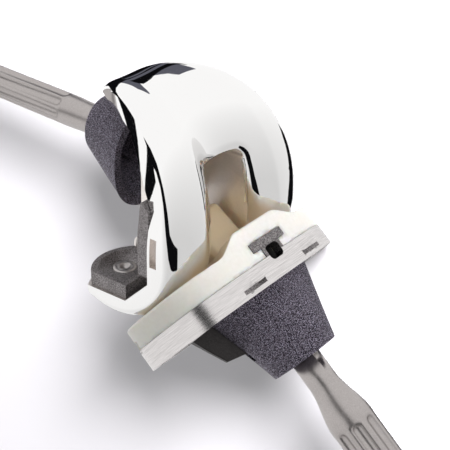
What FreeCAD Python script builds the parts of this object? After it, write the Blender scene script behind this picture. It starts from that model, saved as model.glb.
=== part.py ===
"""Revision knee implant, flexed as it is shown: a femoral component with augments, porous cone and stem,
running on a polyethylene insert that is locked into a tibial tray with a keel, porous cone and stem.

Sizes are in millimetres. The frame is the tibia's: the origin is on the stem's axis in the plane of the
tray's bone face, +Z points up the tibia, -Y to the front and +X to the right of someone facing the front.
The femoral pieces are modelled in full extension about the flexion axis and then turned to the rest pose.
"""

import FreeCAD
import Part

import math
import os

V = FreeCAD.Vector

# Flexion: the femoral condyles have one radius, so the knee turns about a fixed axis.
rest_flexion_deg = 41.4
full_flexion_deg = 110.0
axis_y = 6.5
axis_z = 38.8
joint_gap = 0.3

# Femoral component: articular surface
condyle_radius = 26.75
femoral_half_width = 34.8
condyle_crown_share = 0.575
condyle_edge_drop = 5.9
anterior_reach = 46.0
anterior_top_z = 7.6
trochlea_fullness = 2.11
groove_depth = 8.0
groove_fullness = 0.65
flange_tip_half_width = 8.0
flange_taper_power = 1.45
flange_edge_drop = 2.0
flange_groove_depth = 1.4
flange_tip_deg = 124.0
posterior_end_deg = -130.0
posterior_tip_z = 14.0
posterior_tip_sagitta = 4.6
core_radius = 6.0
side_wall_lead = 1.2
cutter_reach = 60.0

# Femoral component: bone cuts, in the plane across the flexion axis
distal_cut_z = -15.0
posterior_cut_y = 17.1
anterior_cut_y = -36.0
anterior_cut_lean_deg = 3.5
anterior_chamfer_reach = 32.5
posterior_chamfer = 9.3

# Femoral component: box for the post
box_half_width = 10.4
box_wall = 1.8
box_front_y = -24.0
box_roof_back_y = 2.0
box_back_inset = 1.0
box_roof_z = 4.2
box_roof = 2.0
notch_corner_radius = 3.0
notch_edge_round = 1.2
cam_radius = 3.5
cam_orbit = 13.7
cam_angle_deg = -120.7
cam_clearance = 0.3

# Femoral component: boss for the stem
boss_y = -20.3
boss_radius = 7.5
boss_height = 17.0
valgus_deg = 5.0

# Grip recess in each side of the femoral component
grip_length = 10.0
grip_height = 2.6
grip_depth = 2.4
grip_y = -3.9
grip_wall = 1.0

# Augments under the femoral component
distal_augment_thickness = 4.4
distal_augment_nose_y = -8.0
distal_augment_nose_height = 0.6
distal_augment_nose_reach = 2.4
posterior_augment_thickness = 5.0
posterior_augment_foot_gap = 0.4
augment_box_gap = 0.3
augment_edge_inset = 0.9
augment_corner_radius = 2.5
augment_pocket_depth = 1.2
augment_rim = 2.0
augment_gap = 0.05
augment_screw_y = -2.5
augment_screw_z = 4.4
augment_screw_head_radius = 4.2
augment_screw_head_height = 2.2
augment_screw_shank_radius = 2.0
augment_screw_length = 6.0
augment_screw_clearance = 0.1
screw_socket_radius = 1.9
screw_socket_depth = 1.4

# Tibial tray
tray_half_width = 38.5
tray_half_depth = 26.0
tray_fullness = 2.9
tray_offset_y = 8.5
tray_height = 7.7
tray_floor = 3.8
tray_wall = 2.2
tray_underside_rim = 2.4
tray_underside_pocket = 0.8
tray_back_notch_width = 15.0
tray_back_notch_depth = 7.0
tool_slot_length = 10.0
tool_slot_height = 1.4
tool_slot_depth = 1.2
tool_slot_x = 15.5
tool_slot_z = 2.2

# T-shaped lock on the front of the tray
lock_bar_width = 16.5
lock_bar_height = 3.0
lock_stem_width = 9.0
lock_top_z = 14.0
lock_depth = 3.6
lock_window_width = 6.4
lock_window_height = 5.2
lock_window_z = 8.3
lock_window_corner = 1.6
lock_clearance = 0.15

# Removal notches between insert and tray
removal_notch_y = 24.0
removal_notch_length = 6.0
removal_notch_height = 3.0
removal_notch_depth = 3.0
removal_notch_dip = 1.2

# Keel under the tray
keel_boss_radius = 8.2
keel_boss_length = 22.0
keel_wing_reach = 28.2
keel_wing_tip_depth = 11.7
keel_wing_tip_reach = 22.3
keel_wing_root_depth = 14.5
keel_wing_thickness = 3.2
keel_wing_sweep_deg = 25.0

# Insert
insert_top_z = 20.0
insert_back_drop = 5.6
insert_inset = 0.35
insert_clearance = 0.1
insert_rim_drop = 4.4
insert_edge_round = 1.0
insert_shoulder_z = 15.5
insert_shoulder_start_x = 12.5
insert_shoulder_end_x = 27.0
dish_back_radius = 40.0
dish_ease = 0.15
post_half_width = 8.6
post_front_y = -8.2
post_back_y = 1.2
post_top_z = -5.0
post_edge_round = 2.2
post_front_lean = 3.0

# Locking wire and the pin that stiffens the post
wire_radius = 0.65
wire_front_y = -13.0
wire_end_x = 27.0
wire_end_y = -4.5
wire_clearance = 0.12
pin_radius = 2.4
pin_top_z = 28.5
pin_clearance = 0.03

# Cones
cone_wall = 3.0
cone_gap = 0.3
cone_waist = 1.0
cone_fullness = 2.4
tibial_cone_top_half_width = 20.5
tibial_cone_top_half_depth = 14.6
tibial_cone_bottom_radius = 12.0
tibial_cone_length = 26.0
femoral_cone_length = 22.5
femoral_cone_wide_half_width = 19.0
femoral_cone_wide_half_depth = 17.3
femoral_cone_wide_offset_y = 3.4
femoral_cone_narrow_radius = 10.4
femoral_cone_base_z = 12.0

# Stems
stem_neck_radius = 5.1
stem_spigot_radius = 4.0
stem_spigot_length = 12.0
stem_spigot_clearance = 0.05
stem_seat_gap = 0.05
stem_neck_length = 13.0
stem_flare_length = 16.0
stem_plain_length = 0.5
stem_fluted_length = 60.0
stem_tip_length = 14.0
stem_tip_step = 1.0
tibial_stem_radius = 7.8
femoral_stem_radius = 5.6
flute_count = 8
flute_radius = 2.2
flute_depth = 1.1
stem_slot_width = 2.2
stem_slot_height = 3.0
stem_slot_depth = 1.0


def polar(radius, degrees):
    """Point in the plane across the flexion axis, at an angle from straight down towards the front."""
    a = math.radians(degrees)
    return -radius * math.sin(a), -radius * math.cos(a)


def trochlea_radius(degrees):
    """Distance from the flexion axis to the crown of the articular surface.

    Behind the lowest point it is the condyle's one radius. In front of it the curve is a superellipse whose
    half axes are the anterior reach and the height from the lowest point to the anterior-most one.
    """
    if degrees <= 0:
        return condyle_radius
    rise = condyle_radius + anterior_top_z
    low, high = condyle_radius * 0.8, 90.0
    for _ in range(50):
        mid = (low + high) / 2
        y, z = polar(mid, degrees)
        inside = (abs(y) / anterior_reach) ** trochlea_fullness
        inside += (abs(z - anterior_top_z) / rise) ** trochlea_fullness
        if inside < 1:
            low = mid
        else:
            high = mid
    return (low + high) / 2


def section_sizes(degrees):
    """Half width, crown place, edge drop and groove depth of the section at an angle round the axis.

    Behind the lowest point they are constant. Towards the flange's tip the width follows a cosine, and the
    edge's drop and the groove fade with it.
    """
    share = max(0.0, degrees / flange_tip_deg)
    width_share = math.cos(math.pi / 2 * share**flange_taper_power)
    half_width = flange_tip_half_width + (femoral_half_width - flange_tip_half_width) * width_share
    drop = flange_edge_drop + (condyle_edge_drop - flange_edge_drop) * width_share
    groove = flange_groove_depth + (groove_depth - flange_groove_depth) * width_share
    return half_width, half_width * condyle_crown_share, drop, groove


def surface_drop(x, half_width, crown, drop, groove):
    """How far the surface lies below its crown at a distance x from the middle.

    Inside the crown it is a raised cosine, filled out, down into the groove. Outside it is a quarter ellipse.
    """
    x = abs(x)
    if x <= crown:
        return groove * ((1 + math.cos(math.pi * x / crown)) / 2) ** groove_fullness
    s = min(1.0, (x - crown) / (half_width - crown))
    return drop * (1 - math.sqrt(max(0.0, 1 - s * s)))


def articular_section(degrees, grow):
    """Closed section through the flexion axis: the articular curve, two side walls and a flat foot.

    The curve runs a little way down each side wall, so that it meets the wall without a kink.
    """
    half_width, crown, drop, groove = section_sizes(degrees)
    radius = trochlea_radius(degrees) + grow
    half_width += grow
    flank = [crown * k / 5 for k in range(6)]
    flank += [crown + (half_width - crown) * math.sin(math.radians(a)) for a in (22.5, 45, 67.5, 90)]
    profile = [(x, radius - surface_drop(x, half_width, crown, drop, groove)) for x in flank]
    profile.append((half_width, radius - drop - side_wall_lead))

    def at(x, r):
        y, z = polar(r, degrees)
        return V(x, y, z)

    left = [at(-x, r) for x, r in reversed(profile[1:])]
    points = left + [at(x, r) for x, r in profile]
    curve = Part.BSplineCurve()
    curve.interpolate(points)
    foot_left = at(-half_width, core_radius)
    foot_right = at(half_width, core_radius)
    edges = [
        curve.toShape(),
        Part.makeLine(points[-1], foot_right),
        Part.makeLine(foot_right, foot_left),
        Part.makeLine(foot_left, points[0]),
    ]
    return Part.Wire(edges)


def articular_body(grow=0.0):
    """The C-shaped body bounded by the articular surface, from the posterior ends round to the flange."""
    back = [posterior_end_deg * k / 5 for k in range(5, 0, -1)]
    front = [flange_tip_deg * k / 9 for k in range(10)]
    return Part.makeLoft([articular_section(a, grow) for a in back + front], True, False)


def prism_x(points, x0, x1):
    """Polygon in the plane across the flexion axis, extruded from x0 to x1."""
    wire = Part.makePolygon([V(x0, y, z) for y, z in points + points[:1]])
    return Part.Face(wire).extrude(V(x1 - x0, 0, 0))


def box(x0, x1, y0, y1, z0, z1):
    return Part.makeBox(x1 - x0, y1 - y0, z1 - z0, V(x0, y0, z0))


def upright_edges(solid, y):
    """Edges of a box that stand at one depth."""
    return [e for e in solid.Edges if abs(e.BoundBox.YMax - y) < 1e-6 and e.BoundBox.ZLength > 1]


def bone_outline(grow=0.0):
    """The five bone cuts as a polygon that is open far above the component. Grow moves every cut outwards."""
    lean = math.tan(math.radians(anterior_cut_lean_deg))
    far = cutter_reach + 10
    front_y = anterior_cut_y - grow
    distal = distal_cut_z - grow
    back_y = posterior_cut_y + grow
    front_reach = anterior_chamfer_reach + grow * math.sqrt(2)
    back_reach = posterior_cut_y - distal_cut_z - posterior_chamfer + grow * math.sqrt(2)
    return [
        (front_y - lean * far, far),
        (front_y, -front_reach - front_y),
        (-front_reach - distal, distal),
        (back_reach + distal, distal),
        (back_y, back_y - back_reach),
        (back_y, far),
    ]


def notch_prism():
    """Vertical prism of the opening between the condyles, with rounded front corners."""
    solid = box(-box_half_width, box_half_width, box_front_y, cutter_reach, -cutter_reach, box_roof_z)
    return solid.makeFillet(notch_corner_radius, upright_edges(solid, box_front_y))


def middle(edge):
    return edge.valueAt((edge.FirstParameter + edge.LastParameter) / 2)


def notch_edges(body):
    """Edges where the opening between the condyles meets the articular surface."""
    found = []
    for edge in body.Edges:
        spot = middle(edge)
        degrees = math.degrees(math.atan2(-spot.y, -spot.z))
        radius = trochlea_radius(degrees) - surface_drop(spot.x, *section_sizes(degrees))
        on_surface = abs(math.hypot(spot.y, spot.z) - radius) < 0.15
        if on_surface and abs(spot.x) < box_half_width + 0.01 and spot.y > box_front_y - 0.01:
            found.append(edge)
    return found


def tip_arch(x0, x1, top_z, sagitta, y0, y1):
    """Everything above an arch that spans x0 to x1 and rises to top_z, between y0 and y1."""
    foot_z = top_z - sagitta
    arch = Part.Arc(V(x0, y0, foot_z), V((x0 + x1) / 2, y0, top_z), V(x1, y0, foot_z)).toShape()
    above = top_z + 40
    out = 3.0 if x1 > x0 else -3.0
    rest = Part.makePolygon(
        [
            V(x1, y0, foot_z),
            V(x1 + out, y0, foot_z - sagitta),
            V(x1 + out, y0, above),
            V(x0 - out / 4, y0, above),
            V(x0 - out / 4, y0, foot_z - sagitta / 4),
            V(x0, y0, foot_z),
        ]
    )
    return Part.Face(Part.Wire([arch] + rest.Edges)).extrude(V(0, y1 - y0, 0))


def stem_axis():
    """Foot and direction of the femoral stem's axis, which leans to the side by the valgus angle."""
    lean = math.radians(valgus_deg)
    return V(0, boss_y, box_roof_z + box_roof), V(math.sin(lean), 0, math.cos(lean))


def boss_cylinder(radius, start, end):
    """Cylinder on the femoral stem's axis, between two heights above the box's roof."""
    foot, direction = stem_axis()
    return Part.makeCylinder(radius, end - start, foot + direction * start, direction)


def femoral_component():
    shell = articular_body().cut(prism_x(bone_outline(), -cutter_reach, cutter_reach))
    # Side walls, front wall and roof of the box
    outer_x = box_half_width + box_wall
    roof_top = box_roof_z + box_roof
    back_y = posterior_cut_y + box_back_inset
    cam_y, cam_z = polar(cam_orbit, cam_angle_deg)
    outline = [
        (box_front_y - box_wall, distal_cut_z - 5),
        (box_front_y - box_wall, roof_top),
        (cam_y - cam_radius - 2, roof_top),
        (cam_y - cam_radius + 1.5, cam_z + 2),
        (cam_y + cam_radius - 1, cam_z + 2),
        (back_y, cam_z - 5),
        (back_y, distal_cut_z - 5),
    ]
    housing = prism_x(outline, -outer_x, outer_x)
    housing = housing.common(prism_x(bone_outline(1.0), -cutter_reach, cutter_reach))
    opening = box(-box_half_width, box_half_width, box_roof_back_y, cutter_reach, -cutter_reach, cutter_reach)
    body = shell.fuse(housing).cut(opening)
    # Webs that carry the boss from the chamfer in front of the box
    web = [
        (box_front_y - box_wall, roof_top + 1),
        (box_front_y - box_wall - 8, roof_top - 6),
        (box_front_y - box_wall, distal_cut_z + 6),
        (boss_y, roof_top + 1),
    ]
    body = body.fuse(prism_x(web, -box_wall, box_wall))
    body = body.fuse(boss_cylinder(boss_radius, -box_roof, boss_height))
    body = body.cut(notch_prism())
    cam_half = box_half_width + box_wall / 2
    cam = Part.makeCylinder(cam_radius, 2 * cam_half, V(-cam_half, cam_y, cam_z), V(1, 0, 0))
    body = body.fuse(cam)
    body = body.cut(boss_cylinder(stem_spigot_radius, 1.2, boss_height + 1))
    for side in (-1, 1):
        inner = side * (box_half_width - 1)
        outer = side * (femoral_half_width + 1)
        behind = cam_y + cam_radius
        body = body.cut(tip_arch(inner, outer, posterior_tip_z, posterior_tip_sagitta, behind, cutter_reach))
        grip = box(
            *sorted((side * (femoral_half_width - grip_depth), side * (femoral_half_width + 5))),
            grip_y - grip_length / 2,
            grip_y + grip_length / 2,
            distal_cut_z - grip_wall - grip_height,
            distal_cut_z - grip_wall,
        )
        body = body.cut(grip)
        for kind in ("distal", "posterior"):
            body = body.cut(augment_screw_hole(kind, side))
    return body.makeFillet(notch_edge_round, notch_edges(body))


def augment_thickness(kind):
    return distal_augment_thickness if kind == "distal" else posterior_augment_thickness


def augment_sides():
    """Inner and outer edge of the right-hand augments, between the box and the component's side."""
    return box_half_width + box_wall + augment_box_gap, femoral_half_width - augment_edge_inset


def augment_screw_seat(kind, side):
    """Where an augment's screw enters the component, and the direction from the component into the bone."""
    x = side * sum(augment_sides()) / 2
    if kind == "distal":
        return V(x, augment_screw_y, distal_cut_z), V(0, 0, 1)
    return V(x, posterior_cut_y, augment_screw_z), V(0, -1, 0)


def augment_screw_hole(kind, side):
    centre, up = augment_screw_seat(kind, side)
    floor = augment_thickness(kind) - augment_pocket_depth - augment_screw_head_height
    reach = augment_screw_length - floor + 0.3
    radius = augment_screw_shank_radius + augment_screw_clearance
    return Part.makeCylinder(radius, reach, centre - up * reach, up)


def augment_blank(kind, inset=0.0, lift=0.0):
    """Right-hand plate on one bone cut. Inset draws its rim in, and lift is where a pocket's floor starts."""
    inner, outer = augment_sides()
    x0, x1 = inner + inset, outer - inset
    high = augment_thickness(kind) + (1.0 if lift else 0.0)
    if kind == "distal":
        low = distal_cut_z + augment_gap
        front = -anterior_chamfer_reach - distal_cut_z + 0.4 + inset
        back = posterior_cut_y - posterior_chamfer - 0.4 - inset
        if lift:
            front = distal_augment_nose_y + inset
            points = [(front, low + lift), (back, low + lift), (back, low + high), (front, low + high)]
        else:
            # The nose follows the chamfer in front of the cut
            tip, rise = front - distal_augment_nose_reach, low + distal_augment_nose_reach
            points = [(front, low), (back, low), (back, low + high), (distal_augment_nose_y, low + high)]
            points += [(tip, rise + distal_augment_nose_height), (tip, rise)]
        solid = prism_x(points, x0, x1)
        return solid.makeFillet(augment_corner_radius, upright_edges(solid, back))
    near = posterior_cut_y - augment_gap
    foot = distal_cut_z + posterior_chamfer + posterior_augment_foot_gap + inset
    top = posterior_tip_z - inset
    above = top + 10
    points = [(near - lift, foot), (near - high, foot), (near - high, above), (near - lift, above)]
    arch = tip_arch(x0, x1, top, posterior_tip_sagitta, near - cutter_reach, near + cutter_reach)
    return prism_x(points, x0, x1).cut(arch)


def augment(kind, side):
    floor = augment_thickness(kind) - augment_pocket_depth
    plate = augment_blank(kind)
    plate = plate.cut(augment_blank(kind, augment_rim, floor))
    centre, up = augment_screw_seat(kind, 1)
    shank = augment_screw_shank_radius + augment_screw_clearance
    head = augment_screw_head_radius + augment_screw_clearance
    plate = plate.cut(Part.makeCylinder(shank, cutter_reach, centre - up, up))
    seat = floor - augment_screw_head_height
    plate = plate.cut(Part.makeCylinder(head, cutter_reach, centre + up * (seat + augment_gap), up))
    return plate if side > 0 else plate.mirror(V(0, 0, 0), V(1, 0, 0))


def augment_screw(kind, side):
    centre, up = augment_screw_seat(kind, side)
    seat = augment_thickness(kind) - augment_pocket_depth - augment_screw_head_height + 2 * augment_gap
    foot = centre + up * seat
    head = Part.makeCylinder(augment_screw_head_radius, augment_screw_head_height, foot, up)
    rim = [e for e in head.Edges if abs((e.CenterOfMass - foot).dot(up) - augment_screw_head_height) < 1e-6]
    head = head.makeChamfer(0.5, rim)
    screw = head.fuse(Part.makeCylinder(augment_screw_shank_radius, augment_screw_length, foot, up * -1))
    top = foot + up * augment_screw_head_height
    across = V(1, 0, 0)
    along = up.cross(across)
    corners = []
    for k in range(7):
        a = math.radians(60 * k)
        corners.append(top + (across * math.cos(a) + along * math.sin(a)) * screw_socket_radius)
    socket = Part.Face(Part.makePolygon(corners)).extrude(up * -screw_socket_depth)
    return screw.cut(socket)


def oval_wire(half_x, half_y, centre, fullness=2.0):
    """Closed smooth curve |x/a|^n + |y/b|^n = 1 in a level plane."""
    points = []
    count = 24
    for k in range(count):
        a = 2 * math.pi * k / count
        c, s = math.cos(a), math.sin(a)
        r = (abs(c) ** fullness + abs(s) ** fullness) ** (-1 / fullness)
        points.append(centre + V(half_x * r * c, half_y * r * s, 0))
    curve = Part.BSplineCurve()
    curve.interpolate(Points=points, PeriodicFlag=True)
    return Part.Wire([curve.toShape()])


def tray_outline(inset, z, height):
    """Solid of the tray's outline, drawn in by an inset, with the notch at the back."""
    wire = oval_wire(tray_half_width - inset, tray_half_depth - inset, V(0, tray_offset_y, z), tray_fullness)
    solid = Part.Face(wire).extrude(V(0, 0, height))
    back = tray_offset_y + tray_half_depth
    half = tray_back_notch_width / 2 + inset
    depth = tray_back_notch_depth + inset
    notch = box(-half, half, back - depth, back + 10, z - 1, z + height + 1)
    return solid.cut(notch.makeFillet(half * 0.8, upright_edges(notch, back - depth)))


def tray_front_y():
    return tray_offset_y - tray_half_depth


def lock_shape(grow):
    """The T on the tray's front, without its window. Grown, it is the room for it in the insert."""
    y0 = tray_front_y() - (5 if grow else 0)
    y1 = tray_front_y() + lock_depth + grow
    bar_half = lock_bar_width / 2 + grow
    stem_half = lock_stem_width / 2 + grow
    bar = box(-bar_half, bar_half, y0, y1, lock_top_z - lock_bar_height - grow, lock_top_z + grow)
    return bar.fuse(box(-stem_half, stem_half, y0, y1, tray_floor, lock_top_z))


def removal_notch(side, z0, z1):
    x0 = side * (tray_half_width - removal_notch_depth - 2.5)
    x1 = side * (tray_half_width + 10)
    y0 = removal_notch_y - removal_notch_length / 2
    return box(min(x0, x1), max(x0, x1), y0, y0 + removal_notch_length, z0, z1)


def tibial_tray():
    tray = tray_outline(0, 0, tray_height)
    tray = tray.cut(tray_outline(tray_wall, tray_floor, tray_height))
    tray = tray.cut(tray_outline(tray_underside_rim, -1, 1 + tray_underside_pocket))
    front = tray_front_y()
    tray = tray.fuse(lock_shape(0).common(tray_outline(0, 0, cutter_reach)))
    half = lock_window_width / 2
    low = lock_window_z - lock_window_height / 2
    window = box(-half, half, front - 5, front + lock_depth + 4, low, low + lock_window_height)
    sides = [e for e in window.Edges if e.BoundBox.YLength > lock_depth]
    tray = tray.cut(window.makeFillet(lock_window_corner, sides))
    for side in (-1, 1):
        x = side * tool_slot_x
        slot = box(
            x - tool_slot_length / 2,
            x + tool_slot_length / 2,
            front - 3,
            front + tool_slot_depth + 0.4,
            tool_slot_z - tool_slot_height / 2,
            tool_slot_z + tool_slot_height / 2,
        )
        tray = tray.cut(slot)
        tray = tray.cut(removal_notch(side, tray_height - removal_notch_dip, tray_height + 5))
    return tray.fuse(keel())


def keel():
    top = tray_underside_pocket + 1
    boss = Part.makeCylinder(keel_boss_radius, keel_boss_length + top, V(0, 0, -keel_boss_length))
    for side in (-1, 1):
        half = keel_wing_thickness / 2
        points = [
            V(0, -half, top),
            V(side * keel_wing_reach, -half, top),
            V(side * keel_wing_reach, -half, 0),
            V(side * keel_wing_tip_reach, -half, -keel_wing_tip_depth),
            V(0, -half, -keel_wing_root_depth - 2),
            V(0, -half, top),
        ]
        wing = Part.Face(Part.makePolygon(points)).extrude(V(0, keel_wing_thickness, 0))
        wing.rotate(V(0, 0, 0), V(0, 0, 1), side * keel_wing_sweep_deg)
        boss = boss.fuse(wing)
    bore = Part.makeCylinder(stem_spigot_radius, stem_spigot_length + 1, V(0, 0, -keel_boss_length - 1))
    return boss.cut(bore)


def dish_profile(radius):
    """Face from the flexion axis out to the insert's running surface, for a turned cutter."""
    crown = femoral_half_width * condyle_crown_share
    reach = math.sqrt(1 - (1 - insert_rim_drop / condyle_edge_drop) ** 2)
    flank = [crown * k / 5 for k in range(6)]
    flank += [crown + (femoral_half_width - crown) * reach * k / 3 for k in (1, 2, 3)]
    profile = []
    for x in flank:
        drop = surface_drop(x, femoral_half_width, crown, condyle_edge_drop, groove_depth)
        profile.append(V(x, 0, drop - radius))
    left = [V(-p.x, 0, p.z) for p in reversed(profile[1:])]
    curve = Part.BSplineCurve()
    curve.interpolate(left + profile)
    far = tray_half_width + 5
    rim_z = profile[-1].z
    rim = [V(far, 0, rim_z), V(far, 0, -1), V(-far, 0, -1), V(-far, 0, rim_z)]
    rest = Part.makePolygon([profile[-1]] + rim + [left[0]])
    return Part.Face(Part.Wire([curve.toShape()] + rest.Edges))


def dish_cutter():
    """What the femoral component sweeps over the insert, grown by the running gap, about the flexion axis.

    The turned condyles are eased a little more than the front, which is the component in full extension.
    """
    radius = condyle_radius + joint_gap + dish_ease
    turned = dish_profile(radius).revolve(V(0, 0, 0), V(1, 0, 0), 180)
    turned.rotate(V(0, 0, 0), V(1, 0, 0), -90)
    back = dish_profile(dish_back_radius).revolve(V(0, 0, 0), V(1, 0, 0), 60)
    back.translate(V(0, 0, dish_back_radius - radius))
    cutter = turned.fuse(back)
    nose = [articular_section(flange_tip_deg * k / 9, joint_gap) for k in range(-1, 7)]
    cutter = cutter.fuse(Part.makeLoft(nose, True, False))
    cutter.translate(V(0, axis_y, axis_z))
    return cutter


def shoulder_cutter():
    """Everything above the insert's top as seen from the front: high in the middle and low at the sides."""
    front = tray_front_y() - 5
    depth = 2 * tray_half_depth + 20
    width = insert_shoulder_end_x - insert_shoulder_start_x
    points = []
    for k in range(9):
        t = k / 8
        z = insert_top_z + (insert_shoulder_z - insert_top_z) * t * t * (3 - 2 * t)
        points.append(V(insert_shoulder_start_x + width * t, front, z))
    curve = Part.BSplineCurve()
    curve.interpolate(points)
    far = tray_half_width + 5
    above = insert_top_z + 5
    rest = Part.makePolygon(
        [
            points[-1],
            V(far, front, insert_shoulder_z),
            V(far, front, above),
            V(insert_shoulder_start_x, front, above),
            points[0],
        ]
    )
    side = Part.Face(Part.Wire([curve.toShape()] + rest.Edges)).extrude(V(0, depth, 0))
    return side.fuse(side.mirror(V(0, 0, 0), V(1, 0, 0)))


def post():
    """The post, with a leaning front, rounded edges and a hollow in its back that the cam runs into.

    Its places are given from the flexion axis, and the hollow is where the cam lies at full flexion.
    """
    foot = tray_floor + 4 - axis_z
    points = [(post_front_y - post_front_lean, foot), (post_back_y, foot)]
    points += [(post_back_y, post_top_z), (post_front_y, post_top_z)]
    solid = prism_x(points, -post_half_width, post_half_width)
    edges = [e for e in solid.Edges if e.BoundBox.ZMin > foot + 1 or e.BoundBox.ZLength > 5]
    solid = solid.makeFillet(post_edge_round, edges)
    cam_y, cam_z = polar(cam_orbit, cam_angle_deg + full_flexion_deg)
    start = V(-2 * post_half_width, cam_y, cam_z)
    room = Part.makeCylinder(cam_radius + cam_clearance, 4 * post_half_width, start, V(1, 0, 0))
    solid = solid.cut(room)
    solid.translate(V(0, axis_y, axis_z))
    return solid


def wire_path():
    """Arc of the locking wire across the front of the insert."""
    z = tray_floor + wire_radius + insert_clearance
    start, end = V(-wire_end_x, wire_end_y, z), V(wire_end_x, wire_end_y, z)
    return Part.Arc(start, V(0, wire_front_y, z), end).toShape()


def wire_sweep(radius):
    arc = wire_path()
    start = arc.valueAt(arc.FirstParameter)
    circle = Part.Wire([Part.makeCircle(radius, start, arc.tangentAt(arc.FirstParameter))])
    return Part.Wire([arc]).makePipeShell([circle], True, False)


def wire_groove():
    """Room for the wire in the underside of the insert, open towards the tray's floor."""
    circle = wire_path().Curve
    half = wire_radius + wire_clearance
    centre = circle.Center
    foot = V(centre.x, centre.y, tray_floor - 1 + insert_clearance)
    ring = Part.makeCylinder(circle.Radius + half, 2 * half + 1, foot)
    ring = ring.cut(Part.makeCylinder(circle.Radius - half, 10, V(centre.x, centre.y, tray_floor - 2)))
    reach = wire_end_x + half
    return ring.common(box(-reach, reach, -40, wire_end_y + half, 0, 20))


def pin_centre_y():
    return axis_y + (post_front_y + post_back_y - post_front_lean / 2) / 2


def insert_top_edges(solid):
    """Upper edges of the insert's outer wall, clear of the notch at the back."""
    found = []
    for edge in solid.Edges:
        spot = middle(edge)
        x = abs(spot.x) / (tray_half_width - insert_inset)
        y = abs(spot.y - tray_offset_y) / (tray_half_depth - insert_inset)
        if edge.BoundBox.ZMin > tray_height + 1 and x**tray_fullness + y**tray_fullness > 0.97:
            found.append(edge)
    return found


def tibial_insert():
    low = tray_outline(tray_wall + insert_clearance, tray_floor + insert_clearance, tray_height)
    upper_z = tray_height + insert_clearance
    high = tray_outline(insert_inset, upper_z, insert_top_z - upper_z)
    back = tray_offset_y + tray_half_depth
    above = [
        (tray_front_y() + 8, insert_top_z),
        (back + 5, insert_top_z - insert_back_drop),
        (back + 5, insert_top_z + 5),
        (tray_front_y() + 8, insert_top_z + 5),
    ]
    high = high.cut(prism_x(above, -cutter_reach, cutter_reach)).cut(shoulder_cutter()).removeSplitter()
    high = high.makeFillet(insert_edge_round, insert_top_edges(high))
    body = low.fuse(high).cut(dish_cutter())
    body = body.fuse(post())
    body = body.cut(lock_shape(lock_clearance))
    body = body.cut(wire_groove())
    bore_top = pin_top_z + pin_clearance
    body = body.cut(Part.makeCylinder(pin_radius + pin_clearance, bore_top, V(0, pin_centre_y(), 0)))
    for side in (-1, 1):
        body = body.cut(removal_notch(side, tray_height - 3, tray_height + removal_notch_height))
    return body


def post_pin():
    foot = tray_floor + insert_clearance
    pin = Part.makeCylinder(pin_radius, pin_top_z - foot, V(0, pin_centre_y(), foot))
    return pin.makeChamfer(0.4, [e for e in pin.Edges if e.BoundBox.ZLength < 1e-6])


def tibial_cone():
    """Porous sleeve round the keel's boss, close under the tray, with slots for the keel's wings."""
    top_z = tray_underside_pocket - cone_gap
    end_z = top_z - tibial_cone_length
    boss_end_z = -keel_boss_length - cone_gap
    half_x, half_y, end = tibial_cone_top_half_width, tibial_cone_top_half_depth, tibial_cone_bottom_radius
    top = oval_wire(half_x, half_y, V(0, 0, top_z), cone_fullness)
    cone = Part.makeLoft([top, oval_wire(end, end, V(0, 0, end_z))], True, True)
    bore = keel_boss_radius + cone_gap
    waist = bore - cone_waist
    inner_top = oval_wire(half_x - cone_wall, half_y - cone_wall, V(0, 0, top_z + 0.01), cone_fullness)
    inner_end = oval_wire(waist, waist, V(0, 0, boss_end_z + cone_waist))
    cone = cone.cut(Part.makeLoft([inner_top, inner_end], True, True))
    cone = cone.cut(Part.makeCylinder(bore, -boss_end_z + 10, V(0, 0, boss_end_z)))
    cone = cone.cut(Part.makeCylinder(stem_neck_radius + cone_gap, cutter_reach, V(0, 0, -cutter_reach)))
    for side in (-1, 1):
        half = keel_wing_thickness / 2 + cone_gap
        slot = box(0, cutter_reach, -half, half, -keel_wing_root_depth - 2 - cone_gap, 10)
        slot.rotate(V(0, 0, 0), V(0, 0, 1), (0 if side > 0 else 180) + side * keel_wing_sweep_deg)
        cone = cone.cut(slot)
    return cone


def femoral_cone():
    """Porous sleeve round the femoral boss and the stem's neck, following the stem's lean."""
    foot, direction = stem_axis()
    wide_c = foot + direction * (femoral_cone_base_z - foot.z) + V(0, femoral_cone_wide_offset_y, 0)
    narrow_c = foot + direction * (femoral_cone_base_z + femoral_cone_length - foot.z)
    half_x, half_y = femoral_cone_wide_half_width, femoral_cone_wide_half_depth
    end = femoral_cone_narrow_radius
    wide = oval_wire(half_x, half_y, wide_c, cone_fullness)
    cone = Part.makeLoft([wide, oval_wire(end, end, narrow_c)], True, True)
    bore = boss_radius + cone_gap
    waist = bore - cone_waist
    inner_wide = oval_wire(half_x - cone_wall, half_y - cone_wall, wide_c - V(0, 0, 0.01), cone_fullness)
    inner_end = oval_wire(waist, waist, foot + direction * (boss_height + cone_gap - cone_waist))
    cone = cone.cut(Part.makeLoft([inner_wide, inner_end], True, True))
    cone = cone.cut(boss_cylinder(bore, -10, boss_height + cone_gap))
    cone = cone.cut(boss_cylinder(stem_neck_radius + cone_gap, 0, cutter_reach))
    return cone.common(prism_x(bone_outline(-cone_gap), -cutter_reach, cutter_reach))


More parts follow.
